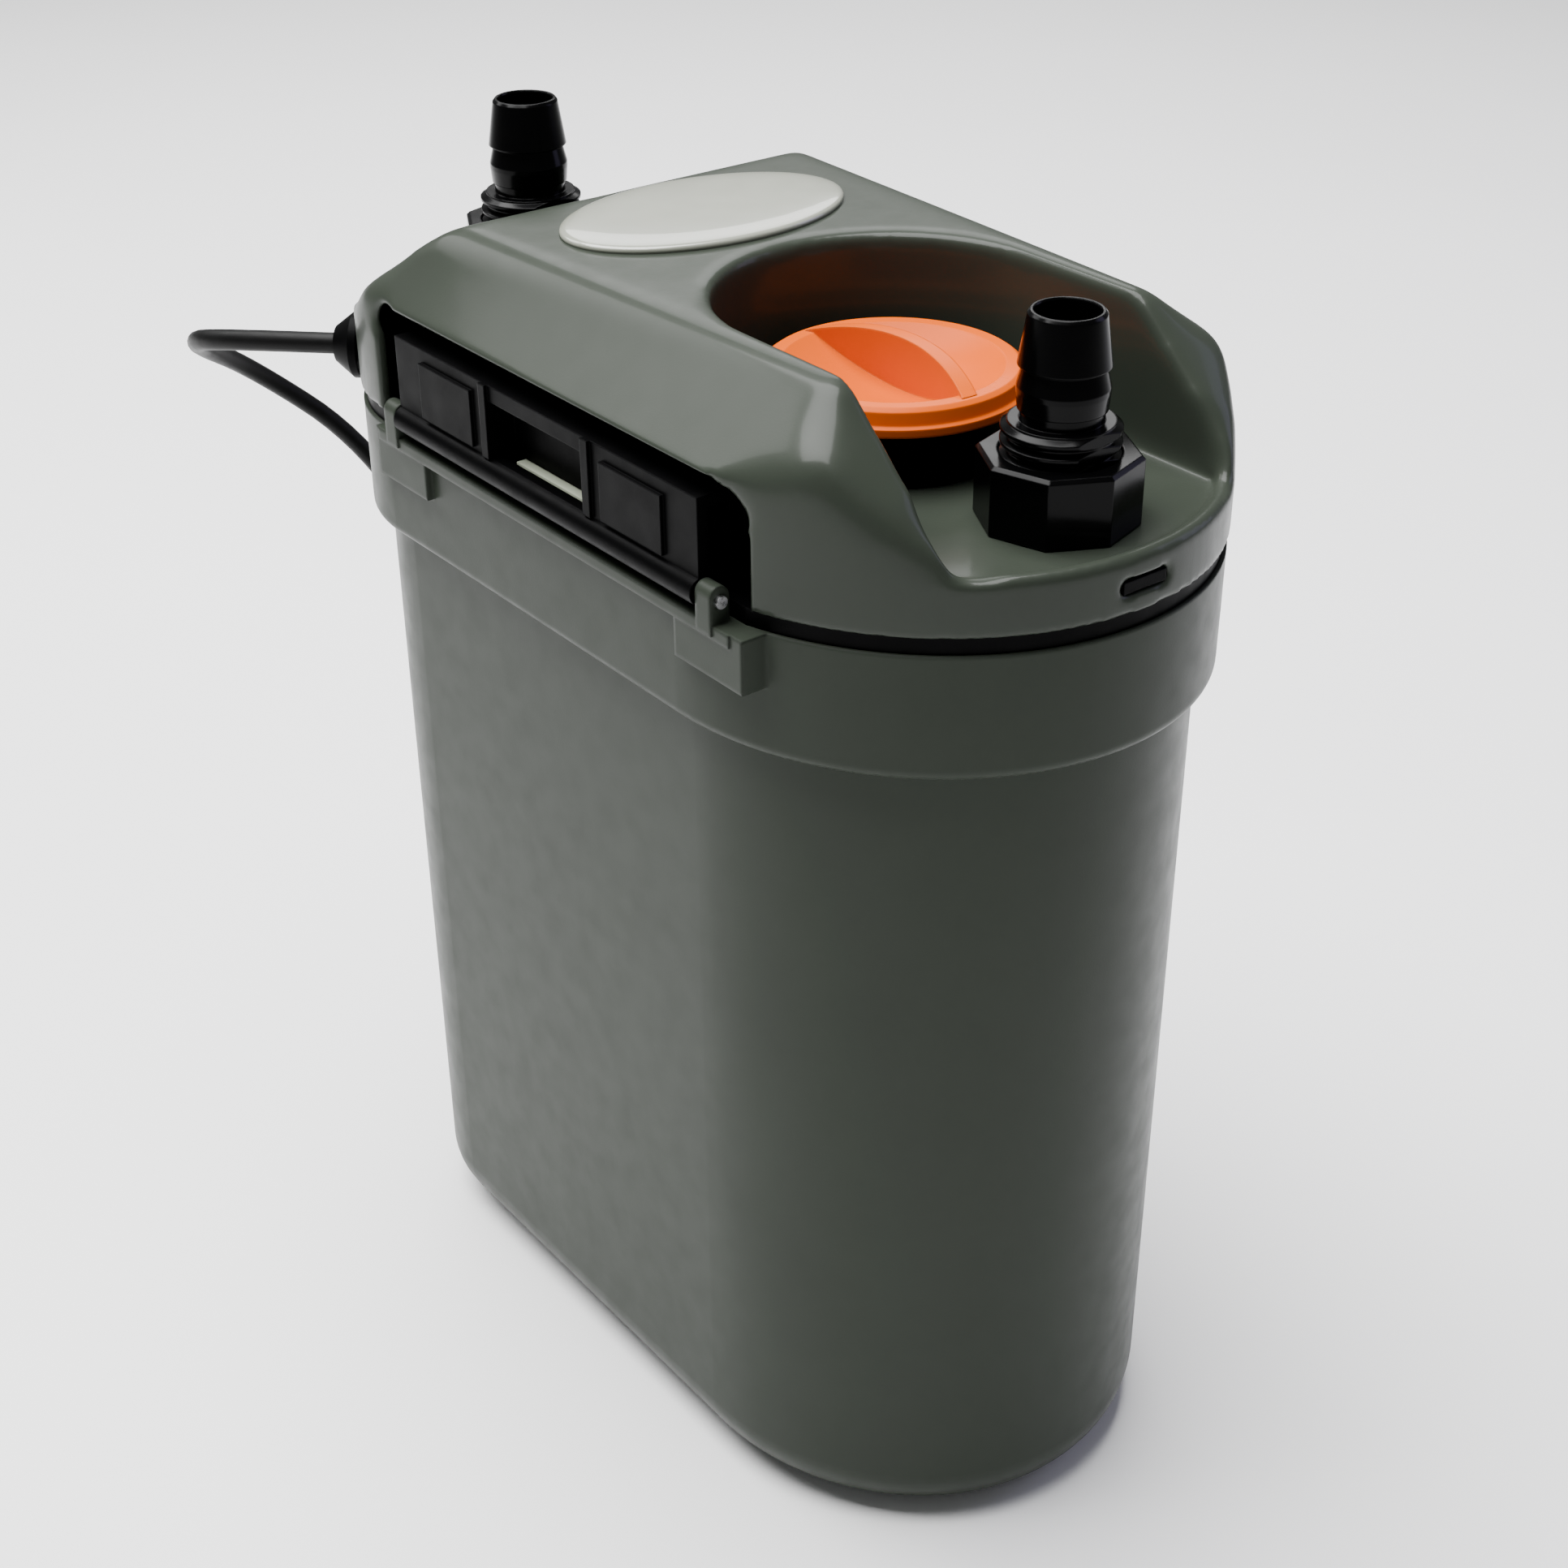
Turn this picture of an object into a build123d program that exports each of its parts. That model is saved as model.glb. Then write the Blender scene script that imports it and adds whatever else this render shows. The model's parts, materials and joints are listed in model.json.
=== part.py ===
"""Canister water filter: a D-shaped tub, a latched pump head under a cover, hose fittings, mains lead.

The base stands on z = 0. The rounded front, with the inlet fitting and the priming cap, faces -Y.
The flat back, with the outlet fitting, faces +Y. The two latches are on the long sides, at -X and +X.
"""

import os
from math import cos, radians, sin, tan

from build123d import *

os.makedirs("parts", exist_ok=True)

# Plan of the tub: straight sides, a half-ellipse in front and two rounded corners at the back.
half_width = 55.0
front_depth = 59.3
front_centre_y = -40.5
back_y = 99.8
back_radius = 34.0
corner_x = half_width - back_radius
corner_y = back_y - back_radius

# Tub.
stand = 1.0
rim_z = 223.5
collar_height = 26.0
collar_proud = 4.0
tub_wall = 2.6
tub_floor = 4.0
bottom_round = 14.0
socket_wall = 2.6
floor_z = stand + tub_floor
collar_z = rim_z - collar_height
socket_inset = collar_proud - socket_wall
foot_radius = 7.0
foot_height = 3.0
foot_gap = 0.1

# Media baskets, stacked in the tub, and what fills them.
basket_gap = 1.8
basket_wall = 1.8
basket_leg = 12.0
lower_basket_height = 88.0
upper_basket_height = 88.0
media_gap = 0.6
pad_height = 18.0
basket_offset = -tub_wall - basket_gap
lower_basket_z = floor_z + basket_leg
upper_basket_z = lower_basket_z + lower_basket_height

# Pump head.
flange_height = 3.5
flange_proud = 3.2
skirt_depth = 18.5
skirt_gap = 0.3
skirt_wall = 3.1
seal_height = 4.4
seal_groove = 1.6
flange_z = rim_z + flange_height
skirt_offset = socket_inset - skirt_gap
skirt_inner = skirt_offset - skirt_wall

# Cover.
cover_proud = 4.3
cover_wall = 2.5
cover_height = 40.5
slope_height = 17.0
shelf_rise = 9.5
shelf_thickness = 2.3
deck_back_y = 54.3
deck_front_y = -62.7
deck_back_half = 46.8
deck_front_half = 38.5
front_slope = 1.123
back_slope = 1.4
lip_height = 12.0
lip_width = 3.4
crease_radius = 8.0
side_crease_radius = 5.0
cove_radius = 35.0
cove_y = -33.2
rear_cove_radius = 27.0
cover_z = flange_z
deck_z = cover_z + cover_height
slope_z = deck_z - slope_height
shelf_z = cover_z + shelf_rise

# Hose fittings.
inlet_x = 0.0
inlet_y = -80.2
outlet_x = -8.5
outlet_y = 82.8
outlet_lift = 5.5
bore_radius = 6.0
mouth_radius = 7.15
ridge_radius = 8.6
ridge_land = 1.0
tube_radius = 7.8
spigot_radius = 11.6
clamp_thread_radius = spigot_radius - 0.4
tail_flange_proud = 0.6
spigot_height = 15.0
thread_depth = 0.7
thread_pitch = 2.5
thread_count = 2
washer_height = 1.5
nut_wall = 1.7
nut_clearance = 0.4
nut_height = 13.4
nut_angle = 39.3
thread_sink = 1.8
nut_top_wall = 2.0
nut_across_flats = 2 * (spigot_radius + thread_depth + nut_clearance + nut_wall)
nut_lift = 0.3

# Priming cap and its neck.
neck_radius = 22.4
neck_bore = 19.5
neck_height = 20.5
cap_radius = 27.0
cap_gap = 0.6
cap_thickness = 5.2
grip_rise = 4.2
grip_arch_radius = 72.0
plug_radius = 19.2
ledge_bore = 17.8
ledge_height = 2.0
neck_top = flange_z + neck_height
ledge_z = flange_z + 12.0

# Latches.
latch_front_y = -50.3
latch_back_y = 56.5
ear_width = 4.6
ear_radius = 2.2
ear_gap = 0.6
ear_height = 7.6
pivot_x = half_width + 4.2
pivot_z = rim_z + 4.6
barrel_radius = 2.9
pin_radius = 1.25
pin_clearance = 0.05
latch_height = 23.2
latch_plate = 2.4
hook_height = 2.4
hook_gap = 0.3
hook_catch = 2.2
latch_top = rim_z + latch_height
plate_outer_x = pivot_x + 0.8
plate_inner_x = plate_outer_x - latch_plate
ledge_top = latch_top - hook_height - hook_gap
opening_front_y = latch_front_y - ear_gap - ear_width - 4.8
opening_back_y = latch_back_y + ear_gap + ear_width + 4.2
opening_top = slope_z + 0.3

# Pump.
motor_y = 29.8
well_radius = 11.5
well_wall = 1.8
well_height = 32.5
rotor_radius = 8.9
shaft_radius = 1.5
shaft_clearance = 0.05
stator_half_x = 23.0
stator_half_y = 18.8
stator_height = 32.0
tub_lip = 2.2
volute_radius = 21.0
volute_wall = 2.4
volute_depth = 13.5
duct_half = 8.0
well_top = flange_z + well_height - flange_height
volute_z = rim_z - volute_depth

# Inlet down pipe.
pipe_radius = 9.5
pipe_bore = 7.6
pipe_notch = 12.4
pipe_foot_z = floor_z + 7.0

# Mains lead.
gland_angle = 135.0
gland_z = rim_z + 8.0
gland_radius = 7.5
gland_neck = 4.2
cord_diameter = 4.8
gland_tip = back_radius + 10.6


def outline(offset, mode=Mode.ADD):
    """The D-shaped plan, moved outwards by offset, as a face in the open sketch."""
    side = half_width + offset
    corner = back_radius + offset
    with BuildSketch(mode=Mode.PRIVATE) as plan:
        with BuildLine():
            Line((side, front_centre_y), (side, corner_y))
            CenterArc((corner_x, corner_y), corner, 0, 90)
            Line((corner_x, corner_y + corner), (-corner_x, corner_y + corner))
            CenterArc((-corner_x, corner_y), corner, 90, 90)
            Line((-side, corner_y), (-side, front_centre_y))
            EllipticalCenterArc((0, front_centre_y), side, front_depth + offset, 180, arc_size=180)
        make_face()
    add(plan.sketch, mode=mode)


def cove(radius, reach):
    """A U-shaped bay around the priming cap, open to the front."""
    with Locations((0, cove_y)):
        Circle(radius)
    with Locations((0, cove_y - reach / 2)):
        Rectangle(2 * radius, reach)


def rear_cove(radius, reach):
    """A U-shaped bay around the outlet fitting, open to the back."""
    with Locations((outlet_x, outlet_y)):
        Circle(radius)
    with Locations((outlet_x, outlet_y + reach / 2)):
        Rectangle(2 * radius, reach)


def save(piece, name):
    """Label a finished piece and write its STEP file."""
    piece.part.label = name
    export_step(piece.part, f"parts/{name}.step")


# ---------------------------------------------------------------- tub
with BuildPart() as cavity:
    with BuildSketch(Plane.XY.offset(floor_z)):
        outline(-tub_wall)
    extrude(amount=collar_z + socket_wall - floor_z)
    fillet(cavity.edges().group_by(Axis.Z)[0], bottom_round - tub_wall)

ear_y = [latch_front_y - ear_gap - ear_width / 2, latch_back_y + ear_gap + ear_width / 2]
foot_places = [(-24, -60.2), (24, -60.2), (-26, 71.8), (26, 71.8)]
lip_length = opening_back_y - opening_front_y

with BuildPart() as canister:
    with BuildSketch(Plane.XY.offset(stand)):
        outline(0)
    extrude(amount=collar_z + 1 - stand)
    fillet(canister.edges().group_by(Axis.Z)[0], bottom_round)
    with BuildSketch(Plane.XY.offset(collar_z)):
        outline(collar_proud)
    collar = extrude(amount=collar_height, mode=Mode.PRIVATE)
    collar = collar.solid()
    add(collar.fillet(2.4, collar.edges().group_by(Axis.Z)[0]))
    # Proud lip along each long side, the pads under the ears, and the ears themselves.
    with Locations((0, (opening_front_y + opening_back_y) / 2, rim_z)):
        Box(2 * (half_width + 6.0), lip_length, 2.6, align=(Align.CENTER, Align.CENTER, Align.MAX))
    for y, length in ((ear_y[0], 21.0), (ear_y[1] - 2.0, 20.0)):
        with Locations((0, y, rim_z)):
            Box(2 * (half_width + 5.6), length, 11.0, align=(Align.CENTER, Align.CENTER, Align.MAX))
    for y in ear_y:
        for side in (-1, 1):
            with BuildSketch(Plane.XZ.offset(-y - ear_width / 2)):
                with Locations((side * pivot_x, rim_z - 2)):
                    Rectangle(2 * ear_radius, ear_height + 2 - ear_radius, align=(Align.CENTER, Align.MIN))
                with Locations((side * pivot_x, rim_z + ear_height - ear_radius)):
                    Circle(ear_radius)
            extrude(amount=ear_width)
    add(cavity.part, mode=Mode.SUBTRACT)
    with BuildSketch(Plane.XY.offset(collar_z + socket_wall)):
        outline(socket_inset)
    extrude(amount=rim_z, mode=Mode.SUBTRACT)
    with BuildSketch(Plane.XZ.offset(-back_y - 20)):
        with Locations((-pivot_x, pivot_z), (pivot_x, pivot_z)):
            Circle(pin_radius)
    extrude(amount=2 * back_y + 80, mode=Mode.SUBTRACT)
    with BuildSketch(Plane.XY):
        with Locations(*foot_places):
            Circle(foot_radius + foot_gap)
    extrude(amount=foot_height, mode=Mode.SUBTRACT)
save(canister, "canister")

for number, (x, y) in enumerate(foot_places, 1):
    with BuildPart() as foot:
        with BuildSketch(Plane.XY):
            with Locations((x, y)):
                Circle(foot_radius)
        extrude(amount=foot_height)
        chamfer(foot.edges().group_by(Axis.Z)[0], 0.5)
    save(foot, f"foot_{number}")


# ---------------------------------------------------------------- baskets and media
def notched(offset, notch):
    """The D-shaped plan with a notch in front for the down pipe."""
    outline(offset)
    with Locations((inlet_x, inlet_y)):
        Circle(notch, mode=Mode.SUBTRACT)
    with Locations((inlet_x, inlet_y - front_depth / 2)):
        Rectangle(2 * notch, front_depth, mode=Mode.SUBTRACT)


def make_basket(base_z, height, leg, name):
    """An open basket with a slotted floor, on four legs where leg is not zero."""
    with BuildPart() as basket:
        with BuildSketch(Plane.XY.offset(base_z)):
            notched(basket_offset, pipe_notch)
        extrude(amount=height)
        with BuildSketch(Plane.XY.offset(base_z + basket_wall)):
            notched(basket_offset - basket_wall, pipe_notch + basket_wall)
        extrude(amount=height, mode=Mode.SUBTRACT)
        with BuildSketch(Plane.XY.offset(base_z)):
            with Locations((0, 18)):
                with GridLocations(11, 26, 7, 5):
                    SlotOverall(20, 4, rotation=90)
        extrude(amount=basket_wall, mode=Mode.SUBTRACT)
        if leg:
            with BuildSketch(Plane.XY.offset(base_z)):
                with GridLocations(54, 104, 2, 2):
                    with Locations((0, 18)):
                        Circle(3.5)
            extrude(amount=-leg)
    save(basket, name)


def make_media(base_z, height, name):
    """A block of filter medium that fills a basket's plan."""
    with BuildPart() as media:
        with BuildSketch(Plane.XY.offset(base_z)):
            notched(basket_offset - basket_wall - media_gap, pipe_notch + basket_wall + media_gap)
        extrude(amount=height)
    save(media, name)


lower_room = lower_basket_height - basket_wall - 1.0
upper_room = upper_basket_height - basket_wall - 1.0
make_basket(lower_basket_z, lower_basket_height, basket_leg, "basket_lower")
make_basket(upper_basket_z, upper_basket_height, 0, "basket_upper")
make_media(lower_basket_z + basket_wall, lower_room, "sponge_coarse")
make_media(upper_basket_z + basket_wall, upper_room - pad_height, "bio_block")
make_media(upper_basket_z + basket_wall + upper_room - pad_height, pad_height, "fine_pad")

with BuildPart() as intake_pipe:
    with BuildSketch(Plane.XY.offset(pipe_foot_z)):
        with Locations((inlet_x, inlet_y)):
            Circle(pipe_radius)
            Circle(pipe_bore, mode=Mode.SUBTRACT)
    extrude(amount=rim_z - pipe_foot_z)
    with BuildSketch(Plane.XZ.offset(-inlet_y + pipe_radius + 5)):
        with Locations((inlet_x, pipe_foot_z)):
            Rectangle(6, 18, align=(Align.CENTER, Align.MIN))
    extrude(amount=-2 * pipe_radius - 10, mode=Mode.SUBTRACT)
save(intake_pipe, "intake_pipe")

# ---------------------------------------------------------------- pump head
seal_z = rim_z - 11.0
gland_dir = (cos(radians(gland_angle)), sin(radians(gland_angle)), 0)
gland_plane = Plane(origin=(-corner_x, corner_y, gland_z), x_dir=(0, 0, 1), z_dir=gland_dir)
hook_tip_x = plate_inner_x - 8.5
ledge_edge_x = hook_tip_x + hook_catch
ledge_wall_x = ledge_edge_x - 6.0
latch_length = latch_back_y - latch_front_y
latch_middle_y = (latch_back_y + latch_front_y) / 2
clip_y = front_centre_y - front_depth - cover_proud + cover_wall
duct_end_y = back_y + skirt_inner - 1.0
fittings = [(inlet_x, inlet_y), (outlet_x, outlet_y)]
lifts = [0, outlet_lift]
tub_x = stator_half_x + tub_lip
tub_y = stator_half_y + tub_lip

with BuildPart() as head_base:
    with BuildSketch(Plane.XY.offset(rim_z)):
        outline(flange_proud)
    extrude(amount=flange_height)
    with BuildSketch(Plane.XY.offset(rim_z)):
        outline(skirt_offset)
        outline(skirt_inner, Mode.SUBTRACT)
    extrude(amount=-skirt_depth)
    # Groove around the skirt for the head seal.
    with BuildSketch(Plane.XY.offset(seal_z)):
        outline(skirt_offset + 1)
        outline(skirt_offset - seal_groove, Mode.SUBTRACT)
    extrude(amount=seal_height, mode=Mode.SUBTRACT)
    # Notches in the flange for the ears and the latch barrels.
    for side in (-1, 1):
        opening_middle = (opening_front_y + opening_back_y) / 2
        with Locations((side * (pivot_x - barrel_radius - 0.6), opening_middle, rim_z)):
            edge = Align.MIN if side > 0 else Align.MAX
            Box(20, lip_length, flange_height, align=(edge, Align.CENTER, Align.MIN), mode=Mode.SUBTRACT)
    # Wall and lip that each latch hooks over.
    for side in (-1, 1):
        edge = Align.MIN if side > 0 else Align.MAX
        with Locations((side * ledge_wall_x, latch_middle_y, flange_z)):
            Box(2.6, latch_length - 4, ledge_top - flange_z, align=(edge, Align.CENTER, Align.MIN))
        with Locations((side * ledge_wall_x, latch_middle_y, ledge_top)):
            Box(6.0, latch_length - 4, 2.6, align=(edge, Align.CENTER, Align.MAX))
        for y in (latch_front_y + 12, latch_middle_y, latch_back_y - 12):
            with Locations((side * (ledge_wall_x + 1), y, flange_z)):
                Box(4.2, 2.4, ledge_top - flange_z - 1, align=(edge, Align.CENTER, Align.MIN))
    # Neck under the priming cap, with the ledge that the cap's lugs turn under.
    with BuildSketch(Plane.XY.offset(flange_z)):
        with Locations((0, cove_y)):
            Circle(neck_radius)
    extrude(amount=neck_height)
    # Small fin in front of the neck.
    with Locations((3.2, cove_y - neck_radius + 0.4, shelf_z + 0.3)):
        Box(1.5, 8.4, 7.5, align=(Align.CENTER, Align.MAX, Align.MIN))
    # Open tub around the coil, and the well that the rotor runs in.
    with Locations((0, motor_y, flange_z)):
        Box(2 * tub_x, 2 * tub_y, stator_height + 1, align=(Align.CENTER, Align.CENTER, Align.MIN))
        Box(
            2 * stator_half_x,
            2 * stator_half_y,
            stator_height + 1,
            align=(Align.CENTER, Align.CENTER, Align.MIN),
            mode=Mode.SUBTRACT,
        )
    with BuildSketch(Plane.XY.offset(rim_z)):
        with Locations((0, motor_y)):
            Circle(well_radius)
    extrude(amount=well_height)
    with BuildSketch(Plane.XY.offset(rim_z)):
        with Locations((0, motor_y)):
            Circle(well_radius - well_wall)
    extrude(amount=well_height - well_wall, mode=Mode.SUBTRACT)
    # Spigots with ring threads for the two hose fittings.
    for (x, y), lift in zip(fittings, lifts):
        with BuildSketch(Plane.XY.offset(flange_z)):
            with Locations((x, y)):
                Circle(spigot_radius)
        extrude(amount=spigot_height + lift)
        for turn in range(thread_count):
            with BuildSketch(Plane.XY.offset(shelf_z + lift + 1.2 + turn * thread_pitch)):
                with Locations((x, y)):
                    Circle(spigot_radius + thread_depth)
            extrude(amount=0.9)
    # Corner block that the cable gland is held in.
    with BuildSketch(gland_plane.offset(back_radius - 4)):
        with Locations((flange_z - gland_z, 0)):
            Rectangle(9.8, 11.6, align=(Align.MIN, Align.CENTER))
    extrude(amount=3.6)
    with BuildSketch(gland_plane.offset(back_radius - 12)):
        Circle(gland_neck)
    extrude(amount=14, mode=Mode.SUBTRACT)
    # Snap that shows in the cover's front window.
    with Locations((0, clip_y + 0.9, flange_z)):
        Box(12, 2.4, 6.6, align=(Align.CENTER, Align.MIN, Align.MIN))
    with Locations((0, clip_y + 1.5, flange_z + 4.1)):
        Box(10.6, 3.4, 2.4, align=(Align.CENTER, Align.MAX, Align.MIN))
    # Bores: inlet, outlet, and the filling hole with its ledge.
    with BuildSketch(Plane.XY.offset(rim_z)):
        with Locations(*fittings):
            Circle(pipe_bore)
    extrude(amount=flange_height + spigot_height + outlet_lift, mode=Mode.SUBTRACT)
    with BuildSketch(Plane.XY.offset(rim_z)):
        with Locations((0, cove_y)):
            Circle(ledge_bore)
    extrude(amount=flange_height + neck_height, mode=Mode.SUBTRACT)
    for low, high in ((flange_z + 2, ledge_z), (ledge_z + ledge_height, neck_top)):
        with BuildSketch(Plane.XY.offset(low)):
            with Locations((0, cove_y)):
                Circle(neck_bore)
        extrude(amount=high - low, mode=Mode.SUBTRACT)
    for turn in (0, 180):
        with BuildSketch(Plane.XY.offset(ledge_z)):
            with Locations(Location((0, cove_y), turn)):
                Polygon((0, 0), (16, 25), (-16, 25), align=None)
            with Locations((0, cove_y)):
                Circle(neck_bore, mode=Mode.INTERSECT)
        extrude(amount=ledge_height, mode=Mode.SUBTRACT)
save(head_base, "head_base")

with BuildPart() as head_seal:
    with BuildSketch(Plane.XY.offset(seal_z)):
        outline(socket_inset)
        outline(skirt_offset - seal_groove, Mode.SUBTRACT)
    extrude(amount=seal_height)
save(head_seal, "head_seal")

with BuildPart() as stator:
    with Locations((0, motor_y, flange_z)):
        Box(
            2 * stator_half_x,
            2 * stator_half_y,
            stator_height,
            align=(Align.CENTER, Align.CENTER, Align.MIN),
        )
    with BuildSketch(Plane.XY.offset(flange_z)):
        with Locations((0, motor_y)):
            Circle(well_radius + 0.1)
    extrude(amount=well_top - flange_z + 0.1, mode=Mode.SUBTRACT)
save(stator, "stator")

with BuildPart() as volute_cover:
    with BuildSketch(Plane.XY.offset(volute_z)):
        with Locations((0, motor_y)):
            Circle(volute_radius)
        with Locations((outlet_x, motor_y)):
            Rectangle(2 * duct_half + 2 * volute_wall, duct_end_y - motor_y, align=(Align.CENTER, Align.MIN))
    extrude(amount=volute_depth)
    with BuildSketch(Plane.XY.offset(volute_z + volute_wall)):
        with Locations((0, motor_y)):
            Circle(volute_radius - volute_wall)
        with Locations((outlet_x, motor_y)):
            Rectangle(2 * duct_half, duct_end_y - volute_wall - motor_y, align=(Align.CENTER, Align.MIN))
    extrude(amount=volute_depth, mode=Mode.SUBTRACT)
    with BuildSketch(Plane.XY.offset(volute_z)):
        with Locations((0, motor_y)):
            with PolarLocations(9.5, 6):
                Circle(3.4)
            Circle(shaft_radius)
    extrude(amount=volute_wall, mode=Mode.SUBTRACT)
save(volute_cover, "volute_cover")

bush_height = 2.0
hub_gap = 0.4
hub_z = volute_z + volute_wall + bush_height + hub_gap
magnet_z = rim_z + 1.5
magnet_top = well_top - well_wall - bush_height - hub_gap

with BuildPart() as shaft:
    with BuildSketch(Plane.XY.offset(volute_z)):
        with Locations((0, motor_y)):
            Circle(shaft_radius)
    extrude(amount=well_top - well_wall - volute_z)
save(shaft, "shaft")

for name, base, radius in (
    ("bush_bottom", volute_z + volute_wall, 4.5),
    ("bush_top", well_top - well_wall - bush_height, well_radius - well_wall),
):
    with BuildPart() as bush:
        with BuildSketch(Plane.XY.offset(base)):
            with Locations((0, motor_y)):
                Circle(radius)
                Circle(shaft_radius, mode=Mode.SUBTRACT)
        extrude(amount=bush_height)
    save(bush, name)

with BuildPart() as impeller:
    with BuildSketch(Plane.XY.offset(hub_z)):
        with Locations((0, motor_y)):
            Circle(5)
    extrude(amount=magnet_z - hub_z)
    with BuildSketch(Plane.XY.offset(rim_z - 2.2)):
        with Locations((0, motor_y)):
            Circle(16.5)
    extrude(amount=1.2)
    with BuildSketch(Plane.XY.offset(hub_z + 0.4)):
        with Locations((0, motor_y)):
            with PolarLocations(10, 6):
                Rectangle(12.4, 1.4)
    extrude(amount=rim_z - 2.2 - hub_z - 0.4)
    with BuildSketch(Plane.XY.offset(hub_z)):
        with Locations((0, motor_y)):
            Circle(shaft_radius + shaft_clearance)
    extrude(amount=magnet_z - hub_z, mode=Mode.SUBTRACT)
save(impeller, "impeller")

with BuildPart() as rotor_magnet:
    with BuildSketch(Plane.XY.offset(magnet_z)):
        with Locations((0, motor_y)):
            Circle(rotor_radius)
            Circle(shaft_radius + shaft_clearance, mode=Mode.SUBTRACT)
    extrude(amount=magnet_top - magnet_z)
save(rotor_magnet, "rotor_magnet")


# ---------------------------------------------------------------- hose fittings
def make_fitting(x, y, lift, turn, prefix):
    """A hose tail, the octagonal nut that holds it down and the washer under it."""
    flange_r = spigot_radius + tail_flange_proud
    spigot_top = flange_z + spigot_height + lift
    tail_z = spigot_top + washer_height
    nut_z = shelf_z + nut_lift + lift
    nut_top = nut_z + nut_height
    thread_z = nut_top - thread_sink
    with BuildPart() as tail:
        points = [(bore_radius, tail_z), (flange_r, tail_z), (flange_r, nut_top - nut_top_wall - 0.1)]
        points += [(clamp_thread_radius - 1.3, nut_top - nut_top_wall - 0.1)]
        points += [(clamp_thread_radius - 1.3, thread_z)]
        for crest in range(3):
            z = thread_z + crest * 2.6
            points += [(clamp_thread_radius - 0.4, z + 0.5), (clamp_thread_radius, z + 0.9)]
            points += [(clamp_thread_radius, z + 1.5), (clamp_thread_radius - 1.3, z + 2.2)]
            points += [(clamp_thread_radius - 1.3, z + 2.6)]
        top = thread_z + 3 * 2.6
        ridge_z = top + 5.4
        points += [(tube_radius, top), (tube_radius, top + 2.2), (tube_radius + 0.5, top + 2.2)]
        points += [(ridge_radius, ridge_z), (ridge_radius, ridge_z + ridge_land)]
        points += [(tube_radius - 0.1, ridge_z + 4.7), (ridge_radius, ridge_z + 5.0)]
        points += [(mouth_radius, ridge_z + 14.4), (mouth_radius - 0.5, ridge_z + 15.0)]
        points += [(bore_radius + 0.2, ridge_z + 15.0), (bore_radius, ridge_z + 14.6)]
        with BuildSketch(Plane(origin=(x, y, 0), x_dir=(1, 0, 0), z_dir=(0, -1, 0))):
            with BuildLine():
                Polyline(*points, close=True)
            make_face()
        revolve(axis=Axis((x, y, 0), (0, 0, 1)))
        # Two flats across the clamping thread.
        with BuildSketch(Plane.XY.offset(thread_z)):
            with Locations(Location((x, y), turn)):
                for way in (-1, 1):
                    with Locations((way * (clamp_thread_radius - 1.3 + 3), 0)):
                        Rectangle(6, 24)
        extrude(amount=3 * 2.6 - 0.2, mode=Mode.SUBTRACT)
    save(tail, f"{prefix}_tail")
    with BuildPart() as nut:
        with BuildSketch(Plane.XY.offset(nut_z)):
            with Locations(Location((x, y), nut_angle)):
                RegularPolygon(nut_across_flats / 2, 8, major_radius=False)
        extrude(amount=nut_height)
        chamfer(nut.edges().group_by(Axis.Z)[-1], 0.7)
        bore = spigot_radius + thread_depth + nut_clearance
        with BuildSketch(Plane.XY.offset(nut_z)):
            with Locations((x, y)):
                Circle(bore)
        extrude(amount=nut_height - nut_top_wall, mode=Mode.SUBTRACT)
        with BuildSketch(Plane.XY.offset(nut_z)):
            with Locations((x, y)):
                Circle(clamp_thread_radius + 0.3)
        extrude(amount=nut_height, mode=Mode.SUBTRACT)
        for ring in range(thread_count - 1):
            with BuildSketch(Plane.XY.offset(shelf_z + lift + 1.2 + ring * thread_pitch + 1.3)):
                with Locations((x, y)):
                    Circle(bore + 0.2)
                    Circle(spigot_radius + 0.3, mode=Mode.SUBTRACT)
            extrude(amount=0.8)
    save(nut, f"{prefix}_nut")
    with BuildPart() as washer:
        with BuildSketch(Plane.XY.offset(spigot_top)):
            with Locations((x, y)):
                Circle(spigot_radius)
                Circle(pipe_bore, mode=Mode.SUBTRACT)
        extrude(amount=washer_height)
    save(washer, f"{prefix}_washer")


make_fitting(inlet_x, inlet_y, 0, 90, "inlet")
make_fitting(outlet_x, outlet_y, outlet_lift, 90, "outlet")


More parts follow.
